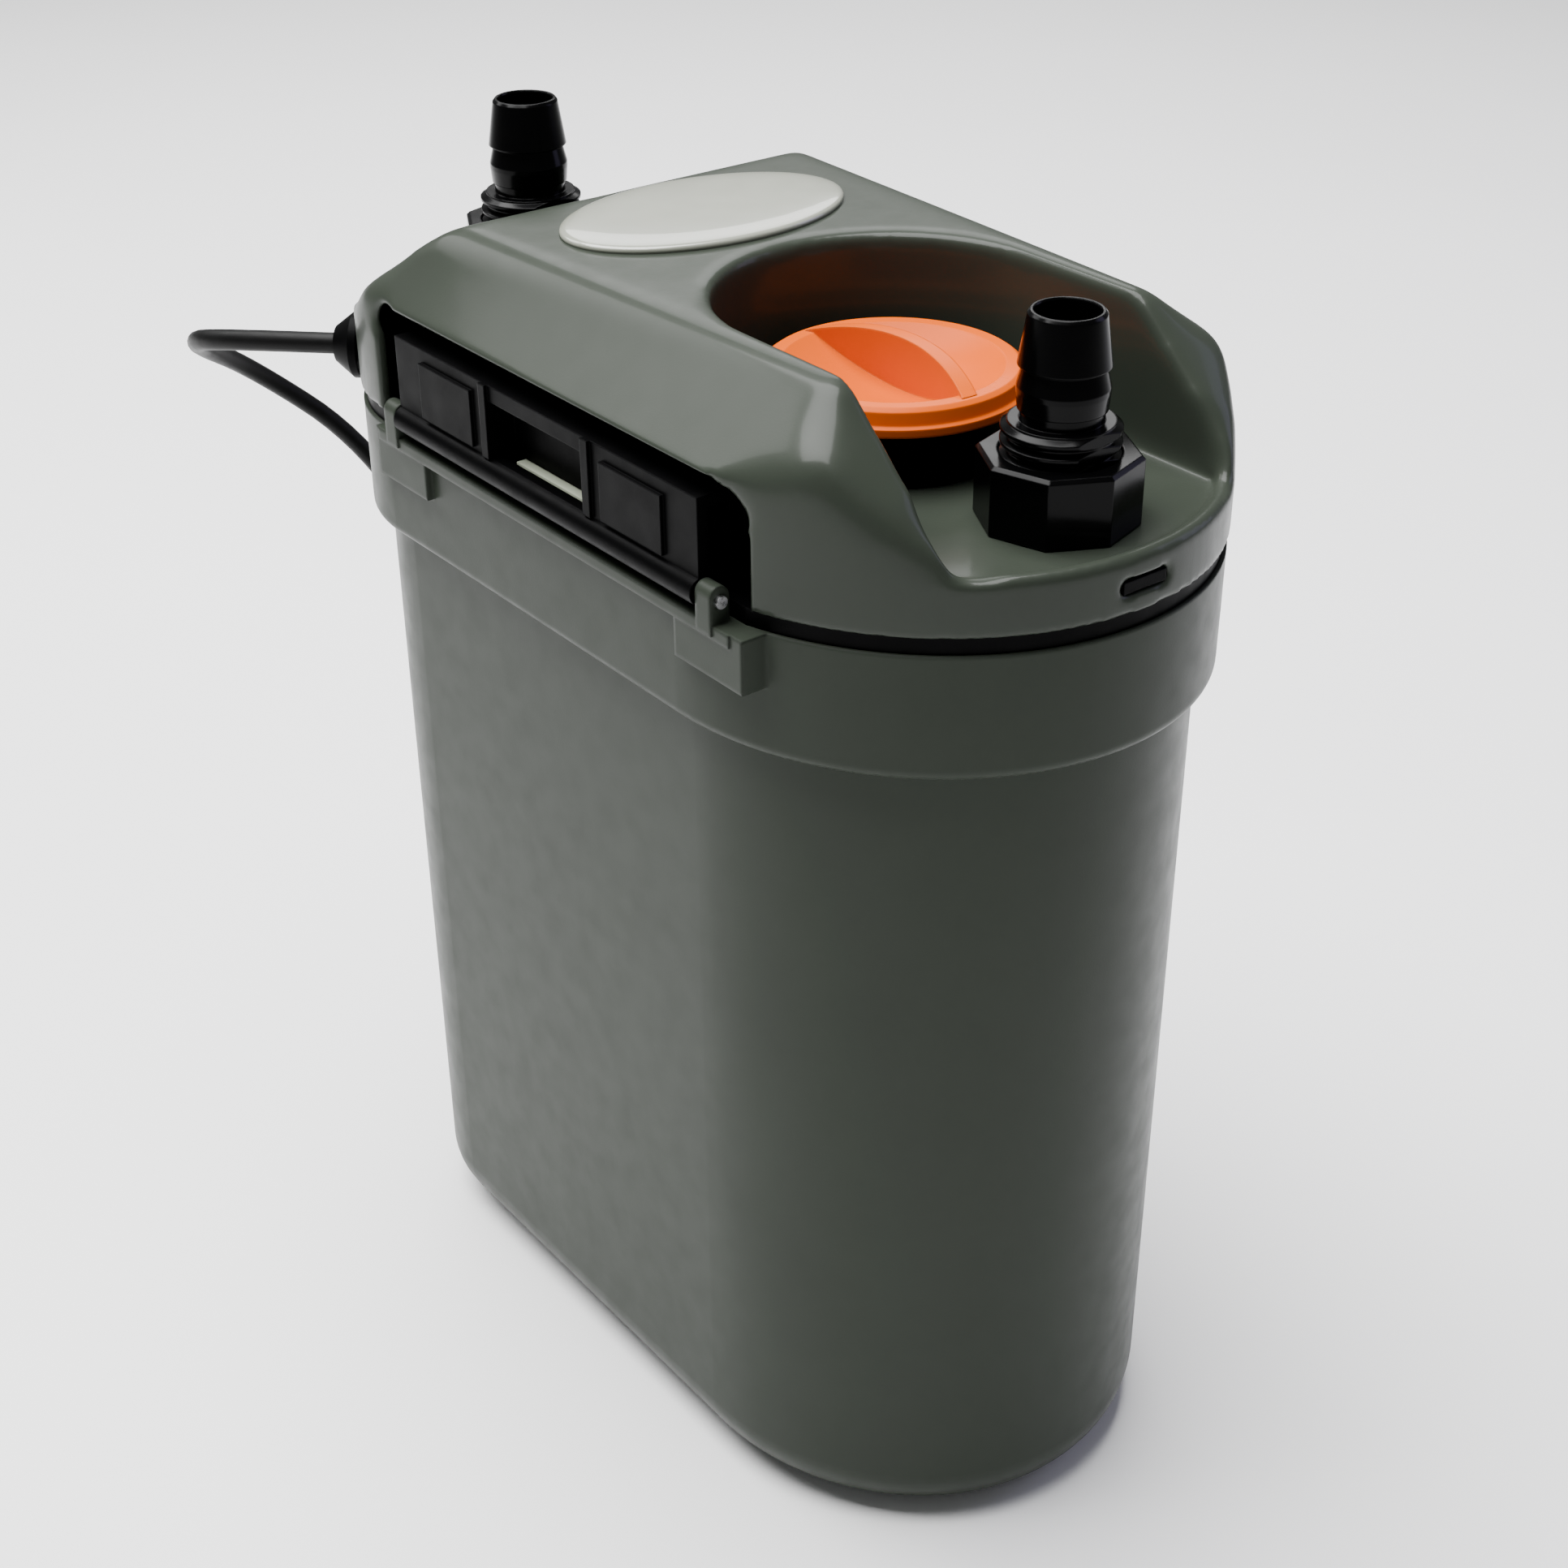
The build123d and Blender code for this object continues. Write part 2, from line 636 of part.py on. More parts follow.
# ---------------------------------------------------------------- cover
def cover_solid(inset):
    """The cover's outer form, or the hollow inside it: a D-shaped lip and a deck with sloping sides."""
    top = deck_z - inset
    shrink = inset * 0.7
    slope_back_y = deck_back_y + back_slope * slope_height
    slope_front_y = deck_front_y - front_slope * slope_height
    base_back_y = deck_back_y + back_slope * cover_height
    base_front_y = deck_front_y - front_slope * cover_height
    side = half_width + cover_proud + 0.3
    with BuildSketch(Plane.XY.offset(top), mode=Mode.PRIVATE) as deck:
        with BuildLine():
            Polyline(
                (deck_back_half - shrink, deck_back_y - shrink),
                (-deck_back_half + shrink, deck_back_y - shrink),
                (-deck_front_half + shrink, deck_front_y + shrink),
                (deck_front_half - shrink, deck_front_y + shrink),
                close=True,
            )
        make_face()
    rings = []
    for z, half, low, high in (
        (slope_z, side, slope_front_y, slope_back_y),
        (cover_z, side + 4, base_front_y, base_back_y),
    ):
        with BuildSketch(Plane.XY.offset(z), mode=Mode.PRIVATE) as ring:
            with Locations((0, (low + high) / 2)):
                Rectangle(2 * (half - inset), high - low - 2 * inset)
        rings.append(ring)
    upper = loft([deck.sketch.face(), rings[0].sketch.face()], ruled=True, mode=Mode.PRIVATE)
    lower = loft([rings[0].sketch.face(), rings[1].sketch.face()], ruled=True, mode=Mode.PRIVATE)
    form = (upper + lower).solid()
    shoulders = [edge for edge in form.edges().filter_by(Axis.Y) if abs(edge.center().Z - slope_z) < 0.1]
    form = form.fillet(side_crease_radius, shoulders)
    form = form.fillet(crease_radius - inset, form.edges().group_by(Axis.Z)[-1])
    with BuildSketch(Plane.XY.offset(cover_z), mode=Mode.PRIVATE) as plan:
        outline(cover_proud - inset)
    block = extrude(plan.sketch, amount=cover_height, mode=Mode.PRIVATE)
    lip = extrude(plan.sketch, amount=lip_height - inset, mode=Mode.PRIVATE)
    return (block & form) + lip


with BuildPart() as cover:
    add(cover_solid(0))
    add(cover_solid(cover_wall), mode=Mode.SUBTRACT)
    bays = []
    for bay, radius in ((cove, cove_radius), (rear_cove, rear_cove_radius)):
        with BuildSketch(Plane.XY.offset(shelf_z - shelf_thickness), mode=Mode.PRIVATE) as plan:
            bay(radius + shelf_thickness, 90)
        bays.append(extrude(plan.sketch, amount=cover_height, mode=Mode.PRIVATE))
    for bay in bays:
        add(cover_solid(0) & bay)
    with BuildSketch(Plane.XY.offset(shelf_z)):
        cove(cove_radius, 90)
        rear_cove(rear_cove_radius, 90)
        outline(cover_proud - lip_width, Mode.INTERSECT)
    extrude(amount=cover_height, mode=Mode.SUBTRACT)
    with BuildSketch(Plane.XY.offset(cover_z + lip_height)):
        cove(cove_radius, 90)
        rear_cove(rear_cove_radius, 90)
    extrude(amount=cover_height, mode=Mode.SUBTRACT)
    # Side openings for the latches.
    with BuildSketch(Plane.YZ) as opening:
        with BuildLine():
            Polyline(
                (opening_front_y, cover_z - 1),
                (opening_front_y, opening_top),
                (opening_back_y, opening_top),
                (opening_back_y, cover_z - 1),
                close=True,
            )
        make_face()
        fillet(opening.vertices().group_by(Axis.X)[0].sort_by(Axis.Y)[-1], 11)
        fillet(opening.vertices().group_by(Axis.X)[-1].sort_by(Axis.Y)[-1], 3)
    openings = extrude(amount=half_width + 20, both=True, mode=Mode.PRIVATE)
    middle = Box(2 * (half_width - 5), 4 * back_y, 4 * deck_z, mode=Mode.PRIVATE)
    add(openings - middle, mode=Mode.SUBTRACT)
    # Holes for the neck, the spigots, the snap and the lead.
    with BuildSketch(Plane.XY.offset(cover_z)):
        with Locations((0, cove_y)):
            Circle(neck_radius + 0.4)
        with Locations(*fittings):
            Circle(spigot_radius + thread_depth + 0.5)
    extrude(amount=shelf_rise + 1, mode=Mode.SUBTRACT)
    with Locations((0, clip_y - cover_wall, flange_z + 3.8)):
        Box(11.8, 3 * cover_wall, 3.2, align=(Align.CENTER, Align.CENTER, Align.MIN), mode=Mode.SUBTRACT)
    with BuildSketch(gland_plane.offset(back_radius)):
        Circle(gland_neck + 0.3)
        with Locations((-gland_z + cover_z, 0)):
            Rectangle(2 * (gland_z - cover_z), 2 * (gland_neck + 0.3))
    extrude(amount=10, mode=Mode.SUBTRACT)
save(cover, "cover")

with BuildPart() as badge:
    with BuildSketch(Plane.XY.offset(deck_z)):
        with Locations((0, 28.3)):
            Ellipse(33.5, 21)
    extrude(amount=1.8)
    fillet(badge.edges().group_by(Axis.Z)[-1], 1.3)
save(badge, "badge")

# ---------------------------------------------------------------- priming cap
cap_z = neck_top + cap_gap
cap_top = cap_z + cap_thickness
stem_radius = ledge_bore - 0.4
seal_low = ledge_z + ledge_height + 2.0
seal_high = seal_low + 2.4

with BuildPart() as priming_cap:
    with BuildSketch(Plane(origin=(0, cove_y, 0), x_dir=(1, 0, 0), z_dir=(0, -1, 0))):
        with BuildLine():
            Polyline(
                (0, cap_top),
                (cap_radius - 2.4, cap_top),
                (cap_radius - 1.4, cap_top - 0.7),
                (cap_radius - 0.9, cap_z + 2.0),
                (cap_radius, cap_z + 1.6),
                (cap_radius, cap_z),
                (plug_radius, cap_z),
                (plug_radius, seal_high),
                (plug_radius - 1.6, seal_high),
                (plug_radius - 1.6, seal_low),
                (plug_radius, seal_low),
                (plug_radius, ledge_z + ledge_height + 0.6),
                (stem_radius, ledge_z + ledge_height + 0.6),
                (stem_radius, ledge_z - 4.5),
                (stem_radius - 3, ledge_z - 4.5),
                (stem_radius - 3, ledge_z + 5.5),
                (0, ledge_z + 5.5),
                close=True,
            )
        make_face()
    revolve(axis=Axis((0, cove_y, 0), (0, 0, 1)))
    # Two lugs that turn under the ledge in the neck.
    with BuildSketch(Plane.XY.offset(ledge_z - 2.8)):
        for turn in (0, 180):
            with Locations(Location((0, cove_y), turn)):
                Polygon((0, 0), (25, 10), (25, -10), align=None)
        with Locations((0, cove_y)):
            Circle(neck_bore - 0.4, mode=Mode.INTERSECT)
            Circle(stem_radius - 1, mode=Mode.SUBTRACT)
    extrude(amount=2.5)
    # Two scoops beside a curved grip that arches above the rim.
    with BuildSketch(Plane.XY.offset(cap_z - 5), mode=Mode.PRIVATE) as grip_plan:
        with BuildLine():
            ThreePointArc((-1.7, cove_y - 28), (5.6, cove_y), (-1.7, cove_y + 28))
            Line((-1.7, cove_y + 28), (-5.3, cove_y + 28))
            ThreePointArc((-5.3, cove_y + 28), (2.0, cove_y), (-5.3, cove_y - 28))
            Line((-5.3, cove_y - 28), (-1.7, cove_y - 28))
        make_face()
    grip = extrude(grip_plan.sketch, amount=20, mode=Mode.PRIVATE)
    bowl = Pos(0, cove_y, cap_top + 33.4) * Sphere(40, mode=Mode.PRIVATE)
    add(bowl - grip, mode=Mode.SUBTRACT)
    arch_z = cap_top + grip_rise - grip_arch_radius
    arch = Pos(0, cove_y, arch_z) * Sphere(grip_arch_radius, mode=Mode.PRIVATE)
    with BuildSketch(Plane.XY.offset(cap_top - 1), mode=Mode.PRIVATE) as grip_ring:
        with Locations((0, cove_y)):
            Circle(cap_radius - 3.2)
    pillar = extrude(grip_ring.sketch, amount=grip_rise + 3, mode=Mode.PRIVATE)
    add(grip & arch & pillar)
save(priming_cap, "priming_cap")

with BuildPart() as cap_seal:
    with BuildSketch(Plane.XY.offset(seal_low)):
        with Locations((0, cove_y)):
            Circle(plug_radius + 0.2)
            Circle(plug_radius - 1.6, mode=Mode.SUBTRACT)
    extrude(amount=seal_high - seal_low)
save(cap_seal, "cap_seal")

# ---------------------------------------------------------------- latches
window_half = 17.0
window_low = pivot_z + barrel_radius
window_high = latch_top - hook_height - 1.0
back_x = ledge_edge_x + 1.1
back_wall = 1.8
hook_low = latch_top - hook_height

for side, word in ((-1, "left"), (1, "right")):
    toward = Align.MIN if side > 0 else Align.MAX
    with BuildPart() as latch:
        with BuildSketch(Plane.XZ.offset(-latch_back_y)):
            with Locations((side * plate_inner_x, pivot_z)):
                Rectangle(latch_plate, latch_top - pivot_z, align=(toward, Align.MIN))
            with Locations((side * pivot_x, pivot_z)):
                Circle(barrel_radius)
            with Locations((side * hook_tip_x, hook_low)):
                Rectangle(plate_inner_x - hook_tip_x, hook_height, align=(toward, Align.MIN))
        extrude(amount=latch_length)
        # Finger pocket: an opening in the plate with a back wall and two side ribs.
        with Locations((side * plate_inner_x, latch_middle_y, window_low)):
            Box(
                latch_plate + 2,
                2 * window_half,
                window_high - window_low,
                align=(toward, Align.CENTER, Align.MIN),
                mode=Mode.SUBTRACT,
            )
        with Locations((side * back_x, latch_middle_y, window_low - 2.4)):
            Box(
                back_wall,
                2 * window_half + 4.8,
                hook_low - window_low + 2.4,
                align=(toward, Align.CENTER, Align.MIN),
            )
        for y in (latch_middle_y - window_half - 1.2, latch_middle_y + window_half + 1.2):
            with Locations((side * back_x, y, window_low)):
                Box(
                    plate_outer_x + 0.8 - back_x,
                    2.4,
                    latch_top - window_low,
                    align=(toward, Align.CENTER, Align.MIN),
                )
        for y in (latch_middle_y - 33, latch_middle_y + 33):
            with Locations((side * (plate_outer_x - 0.5), y, window_low + 0.8)):
                Box(1.3, 20, 12, align=(toward, Align.CENTER, Align.MIN))
        with BuildSketch(Plane.XZ.offset(-latch_back_y)):
            with Locations((side * pivot_x, pivot_z)):
                Circle(pin_radius + pin_clearance)
        extrude(amount=latch_length, mode=Mode.SUBTRACT)
    save(latch, f"latch_{word}")

    with BuildPart() as strip:
        with Locations((side * (back_x + back_wall), latch_middle_y, window_low - 1.6)):
            Box(2.2, 27, 1.2, align=(toward, Align.CENTER, Align.MIN))
    save(strip, f"latch_strip_{word}")

    with BuildPart() as pin:
        with BuildSketch(Plane.XZ.offset(-ear_y[1] - ear_width / 2 - 0.8)):
            with Locations((side * pivot_x, pivot_z)):
                Circle(pin_radius)
        extrude(amount=ear_y[1] - ear_y[0] + ear_width + 1.6)
    save(pin, f"latch_pin_{word}")

# ---------------------------------------------------------------- mains lead
cord_radius = cord_diameter / 2
gland_low = back_radius - 6.5
gland_rest = back_radius + cover_proud + 0.2

with BuildPart() as gland:
    with BuildSketch(gland_plane.offset(gland_low)):
        Circle(gland_neck)
    extrude(amount=gland_rest - gland_low)
    with BuildSketch(gland_plane.offset(gland_rest)):
        Circle(gland_radius)
    extrude(amount=1.8)
    with BuildSketch(gland_plane.offset(gland_rest + 1.8)):
        Circle(gland_radius)
    extrude(amount=gland_tip - gland_rest - 1.8, taper=38)
save(gland, "gland")

exit_point = gland_plane.origin + gland_plane.z_dir * gland_tip
route = [
    (exit_point.X, exit_point.Y, exit_point.Z),
    (-72.3, 117.1, 231.5),
    (-68.0, 144.8, 222.0),
    (-46.0, 160.8, 206.0),
    (-18.0, 157.8, 180.0),
    (0.0, 149.8, 140.0),
    (3.0, 143.8, 96.0),
    (2.5, 141.8, 51.4),
    (3.6, 145.0, 23.6),
    (6.7, 153.4, 10.4),
    (11.5, 166.6, 2.6),
    (19.5, 180.5, 2.6),
]
coil_centre = (47.0, 164.6)
coil_outer = 34.2
coil_width = 14.4
coil_height = 14.6
tail_route = [
    (47.0, 196.4, 12.2),
    (65.0, 196.8, 11.2),
    (84.0, 192.8, 7.3),
    (100.0, 187.8, 7.3),
]
plug_length = 36.0
plug_thickness = 13.8


def tube(points, name):
    """A round tube along straight runs joined by tangent arcs, each as large as its two runs allow."""
    corners = [Vector(*point) for point in points]
    radii = []
    for before, here, after in zip(corners, corners[1:], corners[2:]):
        run_in = here - before
        run_out = after - here
        half_turn = radians(run_in.get_angle(run_out) / 2)
        radii.append(0.45 * min(run_in.length, run_out.length) / tan(half_turn))
    print(name, "radii", [round(radius, 1) for radius in radii])
    with BuildPart() as cord:
        with BuildLine() as path:
            FilletPolyline(*corners, radius=radii)
        with BuildSketch(Plane(origin=path.line @ 0, z_dir=path.line % 0)) as section:
            Circle(cord_radius)
        sweep()
    print(name, "volume", cord.part.volume, "of", section.sketch.area * path.wire().length)
    print(name, "length", path.wire().length)
    save(cord, name)
    return cord


cord = tube(route, "cord")
cord_tail = tube(tail_route, "cord_tail")

with BuildPart() as cord_coil:
    with BuildSketch(Plane.XY.offset(0.2)):
        with Locations(coil_centre):
            Circle(coil_outer)
            Circle(coil_outer - coil_width, mode=Mode.SUBTRACT)
    extrude(amount=coil_height)
    add(cord.part, mode=Mode.SUBTRACT)
    add(cord_tail.part, mode=Mode.SUBTRACT)
save(cord_coil, "cord_coil")

tail_end = Vector(*tail_route[-1])
tail_way = tail_end - Vector(*tail_route[-2])
plug_plane = Plane(origin=tail_end, x_dir=(tail_way.X, tail_way.Y, 0), z_dir=(0, 0, 1))

with BuildPart() as plug:
    with BuildSketch(plug_plane.offset(-plug_thickness / 2)):
        with BuildLine():
            Polyline(
                (0, -4),
                (14, -5.5),
                (22, -16),
                (plug_length, -17.6),
                (plug_length, 17.6),
                (22, 16),
                (14, 5.5),
                (0, 4),
                close=True,
            )
        make_face()
    extrude(amount=plug_thickness)
    chamfer(plug.edges().group_by(Axis.Z)[-1], 1.5)
    chamfer(plug.edges().group_by(Axis.Z)[0], 1.5)
save(plug, "plug")

pin_plane = Plane(origin=tail_end, x_dir=(0, 0, 1), z_dir=(tail_way.X, tail_way.Y, 0))
for number, across in enumerate((-9.3, 9.3), 1):
    with BuildPart() as plug_pin:
        with BuildSketch(pin_plane.offset(plug_length)):
            with Locations((0, across)):
                Circle(2)
        extrude(amount=19)
        chamfer(plug_pin.edges().sort_by(Axis((0, 0, 0), plug_plane.x_dir))[-1], 0.8)
    save(plug_pin, f"plug_pin_{number}")
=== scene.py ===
import json
from math import cos, pi, radians, sin, sqrt

import bmesh
import bpy
import numpy as np
from mathutils import Euler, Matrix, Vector


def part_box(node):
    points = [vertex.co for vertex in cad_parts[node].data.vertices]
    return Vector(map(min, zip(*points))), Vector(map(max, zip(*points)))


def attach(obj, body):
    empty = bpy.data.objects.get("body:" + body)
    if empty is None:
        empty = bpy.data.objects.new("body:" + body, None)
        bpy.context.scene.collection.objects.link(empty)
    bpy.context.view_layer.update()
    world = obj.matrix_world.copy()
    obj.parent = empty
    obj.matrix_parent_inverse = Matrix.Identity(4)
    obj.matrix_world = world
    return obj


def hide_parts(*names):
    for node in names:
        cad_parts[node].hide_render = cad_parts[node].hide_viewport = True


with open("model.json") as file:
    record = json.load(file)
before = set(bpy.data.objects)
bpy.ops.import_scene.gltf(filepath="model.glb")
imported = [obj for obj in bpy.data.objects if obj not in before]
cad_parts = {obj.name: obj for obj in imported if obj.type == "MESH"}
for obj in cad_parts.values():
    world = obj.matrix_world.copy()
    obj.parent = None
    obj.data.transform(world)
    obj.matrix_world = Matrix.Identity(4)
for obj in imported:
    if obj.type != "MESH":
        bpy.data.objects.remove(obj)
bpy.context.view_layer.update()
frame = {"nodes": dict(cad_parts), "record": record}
nodes = frame["nodes"]


# ---------------------------------------------------------------- materials
class Shade:
    """A procedural material, with short ways to add and join its nodes."""

    def __init__(self, name, roughness=0.4, **values):
        self.material = bpy.data.materials.new(name)
        self.material.use_nodes = True
        self.tree = self.material.node_tree
        self.tree.nodes.clear()
        self.out = self.tree.nodes.new("ShaderNodeOutputMaterial")
        self.shader = self.tree.nodes.new("ShaderNodeBsdfPrincipled")
        self.join(self.shader.outputs["BSDF"], self.out.inputs["Surface"])
        self.shader.inputs["Roughness"].default_value = roughness
        for key, value in values.items():
            self.shader.inputs[key.replace("_", " ")].default_value = value
        self.place = self.tree.nodes.new("ShaderNodeTexCoord").outputs["Object"]

    def join(self, start, end):
        self.tree.links.new(start, end)

    def noise(self, scale, detail=3.0, stretch=(1, 1, 1)):
        mapping = self.tree.nodes.new("ShaderNodeMapping")
        mapping.inputs["Scale"].default_value = stretch
        self.join(self.place, mapping.inputs["Vector"])
        node = self.tree.nodes.new("ShaderNodeTexNoise")
        node.inputs["Scale"].default_value = scale
        node.inputs["Detail"].default_value = detail
        self.join(mapping.outputs["Vector"], node.inputs["Vector"])
        return node.outputs["Fac"]

    def cells(self, scale, feature="F1"):
        node = self.tree.nodes.new("ShaderNodeTexVoronoi")
        node.feature = feature
        node.inputs["Scale"].default_value = scale
        self.join(self.place, node.inputs["Vector"])
        return node.outputs["Distance"]

    def spread(self, value, low, high, start=0.3, end=0.7):
        node = self.tree.nodes.new("ShaderNodeMapRange")
        node.inputs["From Min"].default_value = start
        node.inputs["From Max"].default_value = end
        node.inputs["To Min"].default_value = low
        node.inputs["To Max"].default_value = high
        self.join(value, node.inputs["Value"])
        return node.outputs["Result"]

    def blend(self, factor, first, second):
        node = self.tree.nodes.new("ShaderNodeMix")
        node.data_type = "RGBA"
        self.join(factor, node.inputs["Factor"])
        node.inputs["A"].default_value = (*first, 1)
        node.inputs["B"].default_value = (*second, 1)
        return node.outputs["Result"]

    def colour(self, value):
        self.join(value, self.shader.inputs["Base Color"])

    def rough(self, value):
        self.join(value, self.shader.inputs["Roughness"])

    def relief(self, value, depth, edge=0.0):
        bump = self.tree.nodes.new("ShaderNodeBump")
        bump.inputs["Strength"].default_value = 1.0
        bump.inputs["Distance"].default_value = depth
        self.join(value, bump.inputs["Height"])
        if edge:
            round_over = self.tree.nodes.new("ShaderNodeBevel")
            round_over.samples = 6
            round_over.inputs["Radius"].default_value = edge
            self.join(round_over.outputs["Normal"], bump.inputs["Normal"])
        self.join(bump.outputs["Normal"], self.shader.inputs["Normal"])


def moulded(name, tone, roughness, grain=0.00001, edge=0.0004, vary=0.12, **values):
    """Moulded plastic or rubber: fine grain, slightly uneven colour and gloss."""
    shade = Shade(name, roughness, **values)
    low = [channel * (1 - vary) for channel in tone]
    high = [min(1, channel * (1 + vary)) for channel in tone]
    shade.colour(shade.blend(shade.spread(shade.noise(34, 4), 0, 1), low, high))
    shade.rough(shade.spread(shade.noise(160, 4), roughness * 0.88, roughness * 1.14))
    shade.relief(shade.noise(2600, 2), grain, edge)
    return shade.material


def foam(name, light, dark, cell):
    """Open-cell foam."""
    shade = Shade(name, 0.95)
    pores = shade.cells(cell)
    shade.colour(shade.blend(shade.spread(pores, 0, 1, 0.1, 0.7), dark, light))
    shade.relief(pores, 0.0012)
    return shade.material


def floss():
    """Matted polyester fibres."""
    shade = Shade("white_floss", 0.9)
    fibres = shade.noise(700, 6, (1, 1, 6))
    shade.colour(shade.blend(shade.spread(fibres, 0, 1), (0.72, 0.74, 0.74), (0.92, 0.93, 0.93)))
    shade.relief(fibres, 0.0005)
    return shade.material


def ceramic(name, tone, pores, depth, roughness):
    """Fired ceramic, porous or polished."""
    shade = Shade(name, roughness)
    speckle = shade.noise(pores, 5)
    low = [channel * 0.8 for channel in tone]
    shade.colour(shade.blend(shade.spread(speckle, 0, 1), low, tone))
    shade.relief(speckle, depth)
    return shade.material


def metal(name, tone, roughness, stretch):
    """Drawn or plated metal."""
    shade = Shade(name, roughness, Metallic=1.0)
    lines = shade.noise(900, 3, stretch)
    low = [channel * 0.85 for channel in tone]
    shade.colour(shade.blend(shade.spread(lines, 0, 1), low, tone))
    shade.rough(shade.spread(lines, roughness * 0.7, roughness * 1.3))
    shade.relief(lines, 0.000006)
    return shade.material


grey_tone = (0.0255, 0.031, 0.0235)
grey = moulded("grey_plastic", grey_tone, 0.36, 0.000012, 0.0012, 0.04, Specular_IOR_Level=0.08)
cover_grey = moulded(
    "cover_grey",
    grey_tone,
    0.36,
    0.000012,
    vary=0.04,
    Specular_IOR_Level=0.08,
    Coat_Weight=0.15,
    Coat_Roughness=0.13,
)
black_tone = (0.0008, 0.0008, 0.0009)
black = moulded("black_plastic", black_tone, 0.42, 0.000012, Specular_IOR_Level=0.03)
gloss = moulded("gloss_black", black_tone, 0.18, 0.000003, Specular_IOR_Level=0.08)
orange_tone = (0.56, 0.082, 0.0)
orange = moulded("orange_plastic", orange_tone, 0.30, 0.000005, 0.0006, 0.04, Specular_IOR_Level=0.06)
ivory = moulded("ivory_badge", (0.25, 0.26, 0.215), 0.20, 0.000001, 0.0, 0.03, Coat_Weight=0.6)
cord_tone = (0.003, 0.003, 0.003)
looks = {
    "grey_plastic": grey,
    "black_plastic": black,
    "gloss_black": gloss,
    "orange_plastic": orange,
    "ivory_badge": ivory,
    "pale_strip": moulded("pale_strip", (0.55, 0.60, 0.46), 0.5),
    "foot_rubber": moulded("foot_rubber", (0.02, 0.02, 0.02), 0.8, 0.00003),
    "seal_rubber": moulded("seal_rubber", (0.02, 0.02, 0.022), 0.6, 0.00002),
    "basket_plastic": moulded("basket_plastic", (0.03, 0.033, 0.036), 0.45),
    "coarse_foam": foam("coarse_foam", (0.05, 0.13, 0.30), (0.01, 0.03, 0.08), 420),
    "bio_ceramic": ceramic("bio_ceramic", (0.74, 0.66, 0.55), 900, 0.0006, 0.9),
    "white_floss": floss(),
    "potting_resin": moulded("potting_resin", (0.012, 0.012, 0.014), 0.3),
    "magnet": moulded("magnet", (0.05, 0.05, 0.055), 0.5),
    "shaft_ceramic": ceramic("shaft_ceramic", (0.85, 0.84, 0.80), 2500, 0.000004, 0.2),
    "pin_steel": metal("pin_steel", (0.55, 0.55, 0.56), 0.3, (1, 0.05, 1)),
    "cord_pvc": moulded("cord_pvc", cord_tone, 0.45, 0.00002, Specular_IOR_Level=0.1),
    "plug_plastic": moulded("plug_plastic", cord_tone, 0.45, 0.00002, Specular_IOR_Level=0.1),
    "plug_metal": metal("plug_metal", (0.72, 0.68, 0.60), 0.22, (1, 1, 1)),
}
for part in frame["record"]["subparts"]:
    node = nodes[part["node"]]
    node.data.materials.clear()
    node.data.materials.append(looks[part["material_slot"]])


def curve_piece(name, points, look):
    """One open spline through control points, as a round tube-to-be."""
    data = bpy.data.curves.new(name, "CURVE")
    data.dimensions = "3D"
    spline = data.splines.new("NURBS")
    spline.points.add(len(points) - 1)
    for point, place in zip(spline.points, points):
        point.co = (*place, 1)
    spline.order_u = 3
    spline.use_endpoint_u = True
    spline.resolution_u = 8
    data.materials.append(looks[look])
    piece = bpy.data.objects.new(name, data)
    bpy.context.scene.collection.objects.link(piece)
    return piece


# ---------------------------------------------------------------- mains lead
cord_d = 0.0048
route = [
    Vector(place)
    for place in (
        (-0.052537, 0.097337, 0.2315),
        (-0.0723, 0.1171, 0.2315),
        (-0.0680, 0.1448, 0.2220),
        (-0.0460, 0.1608, 0.2060),
        (-0.0180, 0.1578, 0.1800),
        (0.0, 0.1498, 0.1400),
        (0.0030, 0.1438, 0.0960),
        (0.0025, 0.1418, 0.0514),
        (0.0036, 0.1450, 0.0236),
        (0.0067, 0.1534, 0.0104),
        (0.0115, 0.1666, 0.0026),
        (0.0195, 0.1805, 0.0026),
    )
]
coil_x, coil_y, coil_z = 0.0470, 0.1646, 0.0026
coil_start = 0.0318
coil_turns = 6
start_angle = radians(150)
steps = 16
# The coil ends this many steps after its last whole turn, where the lead leaves for the plug.
steps_over = 2


def coil_point(turn):
    """Radius and height of the coil's line after some turns: flat, then on top, then one above those."""
    if turn < 2:
        return coil_start - cord_d * turn, coil_z
    if turn < 3:
        radius, height = coil_point(turn - 1)
        lean = (turn - 2) * pi / 2
        return radius - cord_d * cos(lean), height + cord_d * sin(lean)
    if turn < 4:
        radius, height = coil_point(turn - 1)
        rise = coil_z + cord_d - height
        return radius + sqrt(max(0, cord_d**2 - rise**2)), coil_z + cord_d
    if turn < 5:
        return coil_point(turn - 1)[0] + cord_d, coil_z + cord_d
    radius = coil_point(min(turn, coil_turns - 0.001) - 1)[0]
    lean = min(1, (turn - 5) * 3) * pi / 2
    return radius + cord_d * cos(lean), coil_z + cord_d + cord_d * sin(lean)


